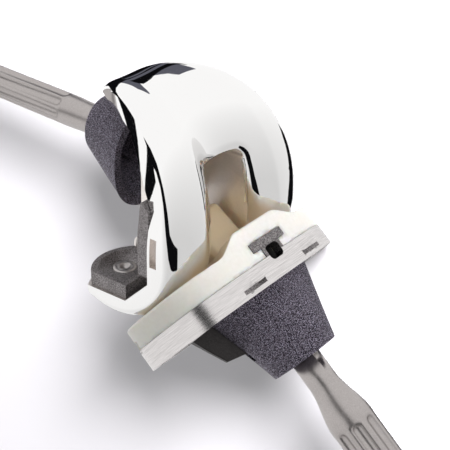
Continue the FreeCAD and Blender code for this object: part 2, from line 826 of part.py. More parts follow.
def stem(body_radius, with_slots):
    """Stem along +Z from the boss's end: neck, flare, fluted body and a plain tip. The spigot points down."""
    z_flare = stem_neck_length
    z_body = z_flare + stem_flare_length
    z_flutes = z_body + stem_plain_length
    z_tip = z_flutes + stem_fluted_length
    z_end = z_tip + stem_tip_length
    tip_radius = body_radius - stem_tip_step
    swell = []
    for k in range(9):
        t = k / 8
        radius = stem_neck_radius + (body_radius - stem_neck_radius) * t * t * (3 - 2 * t)
        swell.append(V(radius, 0, z_flare + stem_flare_length * t))
    flare = Part.BSplineCurve()
    flare.interpolate(swell)
    nose = tip_radius * math.sqrt(0.5)
    edges = [
        Part.makeLine(V(0, 0, 0), V(stem_neck_radius, 0, 0)),
        Part.makeLine(V(stem_neck_radius, 0, 0), V(stem_neck_radius, 0, z_flare)),
        flare.toShape(),
        Part.makeLine(V(body_radius, 0, z_body), V(body_radius, 0, z_tip)),
        Part.makeLine(V(body_radius, 0, z_tip), V(tip_radius, 0, z_tip + 2 * stem_tip_step)),
        Part.makeLine(V(tip_radius, 0, z_tip + 2 * stem_tip_step), V(tip_radius, 0, z_end)),
        Part.Arc(V(tip_radius, 0, z_end), V(nose, 0, z_end + nose), V(0, 0, z_end + tip_radius)).toShape(),
        Part.makeLine(V(0, 0, z_end + tip_radius), V(0, 0, 0)),
    ]
    body = Part.Face(Part.Wire(edges)).revolve(V(0, 0, 0), V(0, 0, 1), 360)
    orbit = body_radius + flute_radius - flute_depth
    flutes = []
    for k in range(flute_count):
        a = 2 * math.pi * k / flute_count
        spot = V(orbit * math.cos(a), orbit * math.sin(a), z_flutes + flute_radius)
        cutter = Part.makeCylinder(flute_radius, z_tip - z_flutes - 2 * flute_radius, spot)
        flutes.append(cutter.fuse(Part.makeSphere(flute_radius, spot)))
    body = body.cut(flutes)
    if with_slots:
        for k in range(2):
            slot = box(
                -stem_slot_width / 2,
                stem_slot_width / 2,
                stem_neck_radius - stem_slot_depth,
                stem_neck_radius + 3,
                keel_clear_z(),
                keel_clear_z() + stem_slot_height,
            )
            slot.rotate(V(0, 0, 0), V(0, 0, 1), 180 * k)
            body = body.cut(slot)
    spigot_radius = stem_spigot_radius - stem_spigot_clearance
    spigot = Part.makeCylinder(spigot_radius, stem_spigot_length - 1, V(0, 0, 1 - stem_spigot_length))
    return body.fuse(spigot)


def keel_clear_z():
    """Distance from the keel's end to where the tibial stem comes out of its cone."""
    return tibial_cone_length + cone_gap - tray_underside_pocket - keel_boss_length + 0.6


def flexed(shape):
    """A femoral piece, modelled in extension about the flexion axis, in its rest pose."""
    shape.rotate(V(0, 0, 0), V(1, 0, 0), -rest_flexion_deg)
    shape.translate(V(0, axis_y, axis_z))
    return shape


def build():
    parts = {"femoral_component": flexed(femoral_component())}
    for side, name in ((-1, "left"), (1, "right")):
        for kind in ("distal", "posterior"):
            parts[f"{kind}_augment_{name}"] = flexed(augment(kind, side))
            parts[f"{kind}_augment_screw_{name}"] = flexed(augment_screw(kind, side))
    parts["femoral_cone"] = flexed(femoral_cone())
    upper = stem(femoral_stem_radius, False)
    foot, direction = stem_axis()
    upper.rotate(V(0, 0, 0), V(0, 1, 0), valgus_deg)
    upper.translate(foot + direction * (boss_height + stem_seat_gap))
    parts["femoral_stem"] = flexed(upper)
    parts["tibial_tray"] = tibial_tray()
    parts["tibial_insert"] = tibial_insert()
    parts["insert_locking_wire"] = wire_sweep(wire_radius)
    parts["post_reinforcing_pin"] = post_pin()
    parts["tibial_cone"] = tibial_cone()
    lower = stem(tibial_stem_radius, True)
    lower.rotate(V(0, 0, 0), V(1, 0, 0), 180)
    lower.translate(V(0, 0, -keel_boss_length - stem_seat_gap))
    parts["tibial_stem"] = lower
    return parts


os.makedirs("parts", exist_ok=True)
for node, shape in build().items():
    solids = shape.removeSplitter().Solids
    print(node, len(solids), [round(s.Volume, 1) for s in solids], all(s.isValid() for s in solids))
    piece = solids[0] if len(solids) == 1 else Part.makeCompound(solids)
    piece.exportStep(f"parts/{node}.step")
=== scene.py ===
"""Looks of the revision knee implant: polished shell, porous cones, satin stems, brushed tray, ivory insert.

Lengths are written in millimetres and made metres on their way into a mesh. The frame is the tibia's.
Femoral pieces are worked out in full extension about the flexion axis and then turned to the rest pose.
"""

import math

import bmesh
import bpy
import numpy as np
from mathutils import Matrix, Vector


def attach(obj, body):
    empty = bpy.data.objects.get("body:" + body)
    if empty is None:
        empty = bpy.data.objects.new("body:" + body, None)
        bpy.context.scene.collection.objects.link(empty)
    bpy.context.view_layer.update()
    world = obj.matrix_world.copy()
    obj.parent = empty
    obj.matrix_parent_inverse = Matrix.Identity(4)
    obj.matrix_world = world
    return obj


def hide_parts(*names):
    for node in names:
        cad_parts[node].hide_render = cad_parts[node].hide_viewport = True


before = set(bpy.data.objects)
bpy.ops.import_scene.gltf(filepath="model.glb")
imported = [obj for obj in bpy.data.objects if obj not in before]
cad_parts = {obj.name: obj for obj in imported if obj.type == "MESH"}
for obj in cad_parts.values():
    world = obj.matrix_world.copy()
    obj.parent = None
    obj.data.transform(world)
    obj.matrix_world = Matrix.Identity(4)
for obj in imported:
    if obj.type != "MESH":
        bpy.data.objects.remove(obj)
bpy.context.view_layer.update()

MM = 0.001

# The flexed femoral side, as the part's source has it
REST_FLEXION = 41.4
AXIS_Y = 6.5
AXIS_Z = 38.8

# Polished shell
CONDYLE_RADIUS = 26.75
HALF_WIDTH = 34.8
CROWN_SHARE = 0.575
EDGE_DROP = 5.9
ANTERIOR_REACH = 46.0
ANTERIOR_TOP_Z = 7.6
FULLNESS = 2.11
GROOVE_DEPTH = 8.0
GROOVE_FULLNESS = 0.65
FLANGE_TIP_HALF_WIDTH = 8.0
FLANGE_TAPER = 1.45
FLANGE_EDGE_DROP = 2.0
FLANGE_GROOVE = 1.4
GROOVE_FADE = 0.95
GROOVE_FADE_FROM = 50.0
GROOVE_FADE_TO = 105.0
FLANGE_TIP = 124.0
POSTERIOR_END = -130.0
FOOT_RADIUS = 6.0
POSTERIOR_TIP_Z = 14.0
POSTERIOR_TIP_SAGITTA = 4.6

DISTAL_CUT = -15.0
POSTERIOR_CUT = 17.1
ANTERIOR_CUT = -34.8
ANTERIOR_LEAN = 3.5
ANTERIOR_CHAMFER = 32.5
POSTERIOR_CHAMFER = 9.3

BOX_HALF = 10.4
BOX_WALL = 1.8
BOX_FRONT = -24.0
BOX_ROOF_BACK = 2.0
BOX_BACK_INSET = 1.0
BOX_ROOF = 4.2
ROOF_THICKNESS = 2.0
NOTCH_CORNER = 3.0
NOTCH_ROUND = 2.8
ROUNDED_FROM = -135.0
ROUNDED_TO = 90.0
CAM_RADIUS = 3.5
CAM_ORBIT = 13.7
CAM_ANGLE = -120.7
BOSS_Y = -20.3
BOSS_RADIUS = 7.5
BOSS_HEIGHT = 17.0
SPIGOT_RADIUS = 4.0
SPIGOT_FLOOR = 1.2
VALGUS = 5.0
GRIP_LENGTH = 10.0
GRIP_HEIGHT = 2.6
GRIP_DEPTH = 2.4
GRIP_Y = -3.9
GRIP_WALL = 1.0
SCREW_X = 23.2
SCREW_Y = -2.5
SCREW_Z = 4.4
SCREW_HOLE = 2.1
HOLE_DEPTH = 4.5

# Past the shell on every side, where the tools that cut it end
CUTTER_REACH = 60.0

# How near to a surface the middle of a face lies that belongs to it: a curved surface, a flat one, and a
# flat one that a Boolean cut
ON_SURFACE = 0.2
ON_PLANE = 0.1
ON_CUT = 0.01

# The flange's rim: faces past this angle round the axis that don't look back at the bone
RIM_FROM = 100.0
RIM_FACING = 0.8

# Camera fitted to the photograph, in the tibia's frame
CAMERA_RIGHT = (0.598583, -0.543276, -0.588685)
CAMERA_UP = (0.370089, -0.464202, 0.804706)
CAMERA_BACK = (-0.710446, -0.699549, -0.076803)
CAMERA_PLACE = (-282.466, -284.317, -5.895)
CAMERA_FOCAL_PIXELS = 1219.712
PHOTO_SIZE = 450
SENSOR_WIDTH = 36.0

# Tray: its top and the two tool slots in the front of its rim
TRAY_TOP = 7.7
SLOT_X = 15.5
SLOT_Z = 2.2
SLOT_LENGTH = 10.0
SLOT_HEIGHT = 1.4

# The lock's window, which looks into a pocket in the insert
WINDOW_HALF = 3.2
WINDOW_LOW = 5.7
WINDOW_HIGH = 10.9
WINDOW_START = -14.2
WINDOW_END = -8.5

# The table under one side of the tray: its place, its half size and how much it glows for the camera
TABLE_X = 38.6
TABLE_HALF = 900.0
TABLE_LIFT = 0.04

# Strength of the world where it lights and isn't seen
WORLD_LIGHT = 0.34


def photo_direction(right, up, back):
    """Unit vector in the part's frame from its shares along the camera's right, up and back."""
    v = Vector(CAMERA_RIGHT) * right + Vector(CAMERA_UP) * up + Vector(CAMERA_BACK) * back
    return v.normalized()


def polar(radius, degrees):
    a = math.radians(degrees)
    return -radius * math.sin(a), -radius * math.cos(a)


def rest_turn():
    """From full extension about the flexion axis to the rest pose, in millimetres."""
    return Matrix.Translation((0, AXIS_Y, AXIS_Z)) @ Matrix.Rotation(math.radians(-REST_FLEXION), 4, "X")


def link(name, mesh):
    obj = bpy.data.objects.new(name, mesh)
    bpy.context.scene.collection.objects.link(obj)
    return obj


def solid_from(name, points, faces):
    mesh = bpy.data.meshes.new(name)
    mesh.from_pydata([tuple(p) for p in points], [], [tuple(int(i) for i in f) for f in faces])
    mesh.validate()
    bm = bmesh.new()
    bm.from_mesh(mesh)
    bmesh.ops.recalc_face_normals(bm, faces=bm.faces)
    bm.to_mesh(mesh)
    bm.free()
    return link(name, mesh)


def prism(name, outline, along):
    """Solid swept by a flat outline of points carried along a vector."""
    base = np.array(outline, float)
    count = len(base)
    points = np.vstack([base, base + np.array(along, float)])
    i = np.arange(count)
    j = (i + 1) % count
    sides = np.stack([i, j, j + count, i + count], 1).tolist()
    return solid_from(name, points, sides + [i.tolist(), (i[::-1] + count).tolist()])


def prism_x(name, outline, x0, x1):
    return prism(name, [(x0, y, z) for y, z in outline], (x1 - x0, 0, 0))


def block(name, x0, x1, y0, y1, z0, z1):
    return prism(name, [(x0, y0, z0), (x1, y0, z0), (x1, y1, z0), (x0, y1, z0)], (0, 0, z1 - z0))


def rod(name, radius, start, end, count=96):
    """Cylinder between two points: a circle of the radius carried from one to the other."""
    start, end = Vector(start), Vector(end)
    axis = end - start
    across = axis.orthogonal().normalized()
    along = axis.cross(across).normalized()
    a = np.linspace(0, 2 * math.pi, count, endpoint=False)[:, None]
    ring = np.array(start) + radius * (np.cos(a) * np.array(across) + np.sin(a) * np.array(along))
    return prism(name, ring, axis)


def combined(base, steps, name):
    """The base after a list of (operation, tool) boolean steps, as a new mesh object. The tools go."""
    for operation, tool in steps:
        step = base.modifiers.new("step", "BOOLEAN")
        step.operation = operation
        step.solver = "MANIFOLD"
        step.object = tool
    depsgraph = bpy.context.evaluated_depsgraph_get()
    mesh = bpy.data.meshes.new_from_object(base.evaluated_get(depsgraph), depsgraph=depsgraph)
    for obj in [base] + [tool for _, tool in steps]:
        bpy.data.objects.remove(obj)
    return link(name, mesh)


def smooth_by_angle(mesh, degrees):
    for polygon in mesh.polygons:
        polygon.use_smooth = True
    mesh.set_sharp_from_angle(angle=math.radians(degrees))


def trochlea_radius(degrees):
    """Distance from the flexion axis to the crown of the running surface.

    Behind the lowest point it is the condyle's radius. In front of it, it is where a ray from the axis
    meets the superellipse (y / reach)^n + ((z - top) / rise)^n = 1, found by halving.
    """
    rise = CONDYLE_RADIUS + ANTERIOR_TOP_Z
    low = np.full_like(degrees, CONDYLE_RADIUS * 0.8)
    high = np.full_like(degrees, 90.0)
    a = np.radians(degrees)
    for _ in range(50):
        mid = (low + high) / 2
        y = mid * np.sin(a)
        z = -mid * np.cos(a)
        inside = np.abs(y / ANTERIOR_REACH) ** FULLNESS + np.abs((z - ANTERIOR_TOP_Z) / rise) ** FULLNESS < 1
        low = np.where(inside, mid, low)
        high = np.where(inside, high, mid)
    return np.where(degrees <= 0, CONDYLE_RADIUS, (low + high) / 2)


def section_sizes(degrees):
    """Half width, crown place, edge drop and groove depth at angles round the axis: a cosine taper.

    Up the flange the groove is shallower by a share that grows as t^2 (3 - 2 t) of the way there.
    """
    share = np.maximum(0.0, degrees / FLANGE_TIP)
    width = np.cos(math.pi / 2 * share**FLANGE_TAPER)
    half = FLANGE_TIP_HALF_WIDTH + (HALF_WIDTH - FLANGE_TIP_HALF_WIDTH) * width
    drop = FLANGE_EDGE_DROP + (EDGE_DROP - FLANGE_EDGE_DROP) * width
    groove = FLANGE_GROOVE + (GROOVE_DEPTH - FLANGE_GROOVE) * width
    way = np.clip((degrees - GROOVE_FADE_FROM) / (GROOVE_FADE_TO - GROOVE_FADE_FROM), 0, 1)
    groove = groove * (1 - GROOVE_FADE * way**2 * (3 - 2 * way))
    return half, half * CROWN_SHARE, drop, groove


def surface_drop(x, half, crown, drop, groove):
    """Fall from the crown: a filled-out raised cosine inwards, a quarter ellipse outwards."""
    x = np.abs(x)
    inner = groove * ((1 + np.cos(math.pi * np.minimum(x, crown) / crown)) / 2) ** GROOVE_FULLNESS
    s = np.clip((x - crown) / (half - crown), 0, 1)
    outer = drop * (1 - np.sqrt(np.maximum(0, 1 - s * s)))
    return np.where(x <= crown, inner, outer)


def notch_rounding(x, degrees, radius):
    """Further fall beside the opening between the condyles: a quarter circle over the distance d from it.

    With R the rounding's radius, the fall is R - sqrt(R^2 - (R - d)^2), and d is the distance to a rounded
    rectangle that is open at the back.
    """
    y = -radius * np.sin(np.radians(degrees))
    qx = np.abs(x) - (BOX_HALF - NOTCH_CORNER)
    qy = BOX_FRONT + NOTCH_CORNER - y
    outside = np.hypot(np.maximum(qx, 0), np.maximum(qy, 0))
    d = outside + np.minimum(np.maximum(qx, qy), 0) - NOTCH_CORNER
    near = np.clip(NOTCH_ROUND - d, 0, NOTCH_ROUND)
    fall = NOTCH_ROUND - np.sqrt(NOTCH_ROUND**2 - near**2)
    return np.where((degrees > ROUNDED_FROM) & (degrees < ROUNDED_TO), fall, 0)


def outer_radius(x, degrees):
    """Distance from the flexion axis to the polished surface."""
    half, crown, drop, groove = section_sizes(degrees)
    plain = trochlea_radius(degrees) - surface_drop(x, half, crown, drop, groove)
    return plain - notch_rounding(x, degrees, plain)


def running_body(name):
    """Closed C-shaped body: rows go round the axis by angle, columns across it by x = half width * share.

    Shares are sines of even steps. Beside and in front of the opening, where its edge is rounded, both
    rows and columns stand closer.
    """
    rows = np.r_[np.linspace(POSTERIOR_END, FLANGE_TIP, 236), np.linspace(44, 66, 56)]
    degrees = np.unique(rows.round(6))[:, None]
    shares = np.sin(np.linspace(-math.pi / 2, math.pi / 2, 121))
    beside = np.linspace(0.292, 0.412, 19)
    shares = np.unique(np.r_[shares, beside, -beside].round(6))
    across = shares[None, :]
    half = section_sizes(degrees)[0]
    x = across * half
    r = outer_radius(x, degrees)
    wall = np.array([[0.25, 0.5, 0.75]])
    foot = FOOT_RADIUS + 0 * half
    rise = r[:, :1] - foot
    x = np.hstack([-half, -half + 0 * wall, x, half + 0 * wall, half])
    r = np.hstack([foot, foot + rise * wall, r, foot + rise * wall[:, ::-1], foot])
    a = np.radians(degrees)
    points = np.stack([x + 0 * a, -r * np.sin(a), -r * np.cos(a)], -1)
    rows, columns = x.shape
    i = np.arange(rows - 1)[:, None] * columns
    j = np.arange(columns)[None, :]
    k = (j + 1) % columns
    faces = np.stack([i + j, i + k, i + k + columns, i + j + columns], -1).reshape(-1, 4).tolist()
    start = np.arange(columns)
    faces += [start[::-1].tolist(), (start + (rows - 1) * columns).tolist()]
    return solid_from(name, points.reshape(-1, 3), faces)


def bone_outline(grow=0.0):
    """The five bone cuts, open far above. Grow moves each of them outwards."""
    lean = math.tan(math.radians(ANTERIOR_LEAN))
    far = CUTTER_REACH + 10
    front_y = ANTERIOR_CUT - grow
    distal = DISTAL_CUT - grow
    back_y = POSTERIOR_CUT + grow
    front_reach = ANTERIOR_CHAMFER + grow * math.sqrt(2)
    back_reach = POSTERIOR_CUT - DISTAL_CUT - POSTERIOR_CHAMFER + grow * math.sqrt(2)
    return [
        (front_y - lean * far, far),
        (front_y, -front_reach - front_y),
        (-front_reach - distal, distal),
        (back_reach + distal, distal),
        (back_y, back_y - back_reach),
        (back_y, far),
    ]


def notch_block(name):
    """Opening between the condyles, its front corners rounded by quarter circles."""
    far = CUTTER_REACH
    arc = np.radians(np.linspace(0, 90, 13))
    inner = BOX_HALF - NOTCH_CORNER
    centre_y = BOX_FRONT + NOTCH_CORNER
    right = [(inner + NOTCH_CORNER * math.cos(a), centre_y - NOTCH_CORNER * math.sin(a)) for a in arc]
    left = [(-x, y) for x, y in reversed(right)]
    outline = [(BOX_HALF, far)] + right + left + [(-BOX_HALF, far)]
    return prism(name, [(x, y, -far) for x, y in outline], (0, 0, far + BOX_ROOF))


def tip_arch(name, x0, x1, y0, y1):
    """Everything above an arc of a circle that spans the condyle and rises to the posterior tip."""
    foot = POSTERIOR_TIP_Z - POSTERIOR_TIP_SAGITTA
    mid, half = (x0 + x1) / 2, abs(x1 - x0) / 2
    radius = (half**2 + POSTERIOR_TIP_SAGITTA**2) / (2 * POSTERIOR_TIP_SAGITTA)
    x = np.linspace(x0, x1, 49)
    z = POSTERIOR_TIP_Z - radius + np.sqrt(radius**2 - (x - mid) ** 2)
    out = 3.0 if x1 > x0 else -3.0
    above = POSTERIOR_TIP_Z + 40
    outline = [(a, b) for a, b in zip(x, z)]
    outline += [(x1 + out, foot - POSTERIOR_TIP_SAGITTA), (x1 + out, above), (x0 - out / 4, above)]
    outline += [(x0 - out / 4, foot - POSTERIOR_TIP_SAGITTA / 4)]
    return prism(name, [(a, y0, b) for a, b in outline], (0, y1 - y0, 0))


def stem_line():
    lean = math.radians(VALGUS)
    return Vector((0, BOSS_Y, BOX_ROOF + ROOF_THICKNESS)), Vector((math.sin(lean), 0, math.cos(lean)))


def face_vectors(mesh, kind):
    """The x, y and z of all faces' vectors of one kind, center or normal."""
    values = np.zeros(len(mesh.polygons) * 3)
    mesh.polygons.foreach_get(kind, values)
    return values.reshape(-1, 3).T


def polished_faces(mesh):
    """Whether each face is on the running surface, a side wall, a posterior end or the flange's rim.

    The rest is satin, and so are the grips in the side walls.
    """
    x, y, z = face_vectors(mesh, "center")
    degrees = np.degrees(np.arctan2(-y, -z))
    half = section_sizes(degrees)[0]
    skin = (outer_radius(x, degrees) - np.hypot(y, z) < ON_SURFACE) & (np.abs(x) < half + ON_SURFACE)
    side_wall = np.abs(x) > half - GRIP_DEPTH - 0.3
    behind = (y > POSTERIOR_CUT + ON_SURFACE) & (np.abs(x) > BOX_HALF - ON_PLANE)
    rim = (degrees > RIM_FROM) & (face_vectors(mesh, "normal")[1] < RIM_FACING)
    grip_z = DISTAL_CUT - GRIP_WALL - GRIP_HEIGHT / 2
    grip = np.abs(y - GRIP_Y) < GRIP_LENGTH / 2 + ON_PLANE
    grip = grip & (np.abs(z - grip_z) < GRIP_HEIGHT / 2 + ON_PLANE)
    grip = grip & (np.abs(x) < half - ON_PLANE)
    return (skin | side_wall | behind | rim) & ~grip


def polished_shell(polished, satin):
    """The femoral component: running body less the bone cuts, with its box, web, boss and cam."""
    far = CUTTER_REACH
    outer = BOX_HALF + BOX_WALL
    roof_top = BOX_ROOF + ROOF_THICKNESS
    back_y = POSTERIOR_CUT + BOX_BACK_INSET
    cam_y, cam_z = polar(CAM_ORBIT, CAM_ANGLE)
    # The box seen from the side: up its front, back along the roof, over the cam and down its back
    walls = [
        (BOX_FRONT - BOX_WALL, DISTAL_CUT - 5),
        (BOX_FRONT - BOX_WALL, roof_top),
        (cam_y - CAM_RADIUS - 2, roof_top),
        (cam_y - CAM_RADIUS + 1.5, cam_z + 2),
        (cam_y + CAM_RADIUS - 1, cam_z + 2),
        (back_y, cam_z - 5),
        (back_y, DISTAL_CUT - 5),
    ]
    box = combined(
        prism_x("walls", walls, -outer, outer),
        [("INTERSECT", prism_x("bone_room", bone_outline(1.0), -far, far))],
        "box_walls",
    )
    # The web that carries the boss from the chamfer in front of the box
    web = [
        (BOX_FRONT - BOX_WALL, roof_top + 1),
        (BOX_FRONT - BOX_WALL - 8, roof_top - 6),
        (BOX_FRONT - BOX_WALL, DISTAL_CUT + 6),
        (BOSS_Y, roof_top + 1),
    ]
    foot, lean = stem_line()
    spigot = foot + lean * SPIGOT_FLOOR, foot + lean * (BOSS_HEIGHT + 1)
    cam_half = BOX_HALF + BOX_WALL / 2
    steps = [
        ("DIFFERENCE", prism_x("bone", bone_outline(), -far, far)),
        ("UNION", box),
        ("DIFFERENCE", block("roof_end", -BOX_HALF, BOX_HALF, BOX_ROOF_BACK, far, -far, far)),
        ("UNION", prism_x("web", web, -BOX_WALL, BOX_WALL)),
        ("UNION", rod("boss", BOSS_RADIUS, foot - lean * ROOF_THICKNESS, foot + lean * BOSS_HEIGHT)),
        ("DIFFERENCE", notch_block("notch")),
        ("UNION", rod("cam", CAM_RADIUS, (-cam_half, cam_y, cam_z), (cam_half, cam_y, cam_z), 64)),
        ("DIFFERENCE", rod("spigot", SPIGOT_RADIUS, *spigot)),
    ]
    for side in (-1, 1):
        inner, outside = side * (BOX_HALF - 1), side * (HALF_WIDTH + 1)
        steps.append(("DIFFERENCE", tip_arch("tip", inner, outside, cam_y + CAM_RADIUS, 50)))
        x = sorted((side * (HALF_WIDTH - GRIP_DEPTH), side * (HALF_WIDTH + 5)))
        top = DISTAL_CUT - GRIP_WALL
        y0 = GRIP_Y - GRIP_LENGTH / 2
        steps.append(("DIFFERENCE", block("grip", *x, y0, y0 + GRIP_LENGTH, top - GRIP_HEIGHT, top)))
        seat = Vector((side * SCREW_X, SCREW_Y, DISTAL_CUT))
        ends = seat - Vector((0, 0, HOLE_DEPTH)), seat + Vector((0, 0, 1))
        steps.append(("DIFFERENCE", rod("hole", SCREW_HOLE, *ends, 48)))
        seat = Vector((side * SCREW_X, POSTERIOR_CUT, SCREW_Z))
        ends = seat + Vector((0, HOLE_DEPTH, 0)), seat - Vector((0, 1, 0))
        steps.append(("DIFFERENCE", rod("hole", SCREW_HOLE, *ends, 48)))
    shell = combined(running_body("running"), steps, "polished_femoral_shell")
    mesh = shell.data
    mesh.materials.clear()
    mesh.materials.append(polished)
    mesh.materials.append(satin)
    index = np.where(polished_faces(mesh), 0, 1)
    mesh.polygons.foreach_set("material_index", index.astype(np.int32))
    smooth_by_angle(mesh, 34)
    mesh.transform(Matrix.Scale(MM, 4) @ rest_turn())
    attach(shell, "femur")
    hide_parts("femoral_component")
    return shell


def finished_copy(node, body, material, angle, name, cuts=(), zones=()):
    """A CAD piece with its triangles joined and its curved faces shaded smooth.

    Cuts are boxes taken out of it, in millimetres. Zones are (material, test) pairs: where the test of the
    faces' centres x, y, z in millimetres holds, a face has that material.
    """
    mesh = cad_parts[node].data.copy()
    mesh.name = name
    bm = bmesh.new()
    bm.from_mesh(mesh)
    bmesh.ops.remove_doubles(bm, verts=bm.verts, dist=1e-6)
    bm.to_mesh(mesh)
    bm.free()
    piece = link(name, mesh)
    if cuts:
        mesh.transform(Matrix.Scale(1 / MM, 4))
        piece = combined(piece, [("DIFFERENCE", block("cut", *sizes)) for sizes in cuts], name)
        mesh = piece.data
        mesh.transform(Matrix.Scale(MM, 4))
    mesh.materials.clear()
    mesh.materials.append(material)
    index = np.zeros(len(mesh.polygons), np.int32)
    for number, (other, test) in enumerate(zones, 1):
        mesh.materials.append(other)
        index[test(*(face_vectors(mesh, "center") / MM))] = number
    mesh.polygons.foreach_set("material_index", index)
    smooth_by_angle(mesh, angle)
    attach(piece, body)
    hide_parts(node)
    return piece


def in_slots(x, y, z):
    """Where a face belongs to one of the two tool slots in the front of the tray's rim; these faces take the
    darker blasted titanium as painted shade in the slots.
    """
    along = abs(abs(x) - SLOT_X) < SLOT_LENGTH / 2 + ON_CUT
    return along & (abs(z - SLOT_Z) < SLOT_HEIGHT / 2 + ON_CUT) & (y < 0)


def in_window(x, y, z):
    """Where a face belongs to the insert's pocket behind the lock's window, which is painted near-black as
    painted shade.
    """
    across = abs(x) < WINDOW_HALF + ON_CUT
    along = (y > WINDOW_START) & (y < WINDOW_END + ON_CUT)
    return across & along & (z > WINDOW_LOW - ON_CUT) & (z < WINDOW_HIGH + ON_CUT)


def node_group(name, inputs, outputs):
    """Empty shader group with named sockets. Inputs and outputs are (name, kind, default) tuples."""
    group = bpy.data.node_groups.new(name, "ShaderNodeTree")
    for label, kind, default in inputs:
        socket = group.interface.new_socket(name=label, in_out="INPUT", socket_type=kind)
        if default is not None:
            socket.default_value = default
    for label, kind in outputs:
        group.interface.new_socket(name=label, in_out="OUTPUT", socket_type=kind)
    return group, group.nodes.new("NodeGroupInput"), group.nodes.new("NodeGroupOutput")


def noise(group, vector, scale, detail=2.0, roughness=0.5):
    node = group.nodes.new("ShaderNodeTexNoise")
    node.inputs["Scale"].default_value = scale
    node.inputs["Detail"].default_value = detail
    node.inputs["Roughness"].default_value = roughness
    group.links.new(vector, node.inputs["Vector"])
    return node


def math_node(group, operation, a, b=None, clamp=False):
    node = group.nodes.new("ShaderNodeMath")
    node.operation = operation
    node.use_clamp = clamp
    for value, socket in ((a, node.inputs[0]), (b, node.inputs[1])):
        if value is None:
            continue
        if isinstance(value, (int, float)):
            socket.default_value = value
        else:
            group.links.new(value, socket)
    return node.outputs[0]


def blasted_group():
    """Fine blasted grain: two noises of unlike size added, as a value about 0.5 and a height."""
    group, start, end = node_group(
        "blasted_grain",
        [("Place", "NodeSocketVector", None), ("Grains per metre", "NodeSocketFloat", 3000.0)],
        [("Value", "NodeSocketFloat"), ("Height", "NodeSocketFloat")],
    )
    fine = noise(group, start.outputs["Place"], 1.0, 3.0)
    group.links.new(start.outputs["Grains per metre"], fine.inputs["Scale"])
    coarse = noise(group, start.outputs["Place"], 1.0, 1.0)
    scale = math_node(group, "MULTIPLY", start.outputs["Grains per metre"], 0.12)
    group.links.new(scale, coarse.inputs["Scale"])
    value = math_node(group, "MULTIPLY", fine.outputs["Fac"], 0.88)
    value = math_node(group, "ADD", value, math_node(group, "MULTIPLY", coarse.outputs["Fac"], 0.12))
    group.links.new(value, end.inputs["Value"])
    group.links.new(fine.outputs["Fac"], end.inputs["Height"])
    return group


def brushed_group():
    """Brush lines: noise stretched along one direction by a mapping, as a value and a height."""
    group, start, end = node_group(
        "brush_lines",
        [("Place", "NodeSocketVector", None), ("Stretch", "NodeSocketVector", None)],
        [("Value", "NodeSocketFloat"), ("Height", "NodeSocketFloat")],
    )
    stretch = group.nodes.new("ShaderNodeVectorMath")
    stretch.operation = "MULTIPLY"
    group.links.new(start.outputs["Place"], stretch.inputs[0])
    group.links.new(start.outputs["Stretch"], stretch.inputs[1])
    lines = noise(group, stretch.outputs[0], 1.0, 3.0, 0.6)
    group.links.new(lines.outputs["Fac"], end.inputs["Value"])
    group.links.new(lines.outputs["Fac"], end.inputs["Height"])
    return group


def porous_group():
    """Porous metal: cells of a Voronoi pattern, pits between grains, with a finer noise over them. Pit is low
    in the pits, where the colour is painted shade.
    """
    group, start, end = node_group(
        "porous_grain",
        [("Place", "NodeSocketVector", None), ("Grains per metre", "NodeSocketFloat", 1500.0)],
        [("Pit", "NodeSocketFloat"), ("Height", "NodeSocketFloat")],
    )
    warp = noise(group, start.outputs["Place"], 1.0, 2.0)
    scale = math_node(group, "MULTIPLY", start.outputs["Grains per metre"], 0.7)
    group.links.new(scale, warp.inputs["Scale"])
    cells = group.nodes.new("ShaderNodeTexVoronoi")
    cells.feature = "F1"
    group.links.new(start.outputs["Place"], cells.inputs["Vector"])
    group.links.new(start.outputs["Grains per metre"], cells.inputs["Scale"])
    mound = math_node(group, "SUBTRACT", 1.0, cells.outputs["Distance"])
    mound = math_node(group, "MULTIPLY", mound, 0.6)
    height = math_node(group, "ADD", mound, math_node(group, "MULTIPLY", warp.outputs["Fac"], 0.7))
    pit = math_node(group, "MULTIPLY", math_node(group, "SUBTRACT", height, 0.45), 2.2, clamp=True)
    group.links.new(pit, end.inputs["Pit"])
    group.links.new(height, end.inputs["Height"])
    return group


class Finish:
    """A material with its Principled shader, object coordinates and a bump node when a height is given."""

    def __init__(self, name, color, metallic, roughness):
        self.material = bpy.data.materials.new(name)
        self.material.use_nodes = True
        self.tree = self.material.node_tree
        self.shader = self.tree.nodes["Principled BSDF"]
        self.shader.inputs["Base Color"].default_value = (*color, 1)
        self.shader.inputs["Metallic"].default_value = metallic
        self.shader.inputs["Roughness"].default_value = roughness
        self.place = self.tree.nodes.new("ShaderNodeTexCoord").outputs["Object"]

    def group(self, tree, **values):
        node = self.tree.nodes.new("ShaderNodeGroup")
        node.node_tree = tree
        self.tree.links.new(self.place, node.inputs["Place"])
        for label, value in values.items():
            node.inputs[label.replace("_", " ")].default_value = value
        return node

    def ramp(self, factor, stops):
        node = self.tree.nodes.new("ShaderNodeValToRGB")
        elements = node.color_ramp.elements
        while len(elements) < len(stops):
            elements.new(0.5)
        for element, (position, color) in zip(elements, stops):
            element.position = position
            element.color = (*color, 1)
        self.tree.links.new(factor, node.inputs["Fac"])
        return node.outputs["Color"]

    def range(self, factor, low, high):
        node = self.tree.nodes.new("ShaderNodeMapRange")
        node.inputs["To Min"].default_value = low
        node.inputs["To Max"].default_value = high
        self.tree.links.new(factor, node.inputs["Value"])
        return node.outputs["Result"]

    def color(self, socket):
        self.tree.links.new(socket, self.shader.inputs["Base Color"])

    def color_by(self, factor, *stops):
        self.color(self.ramp(factor, stops))

    def roughness(self, socket):
        self.tree.links.new(socket, self.shader.inputs["Roughness"])

    def bump(self, height, distance, strength=1.0):
        node = self.tree.nodes.new("ShaderNodeBump")
        node.inputs["Distance"].default_value = distance
        node.inputs["Strength"].default_value = strength
        self.tree.links.new(height, node.inputs["Height"])
        self.tree.links.new(node.outputs["Normal"], self.shader.inputs["Normal"])


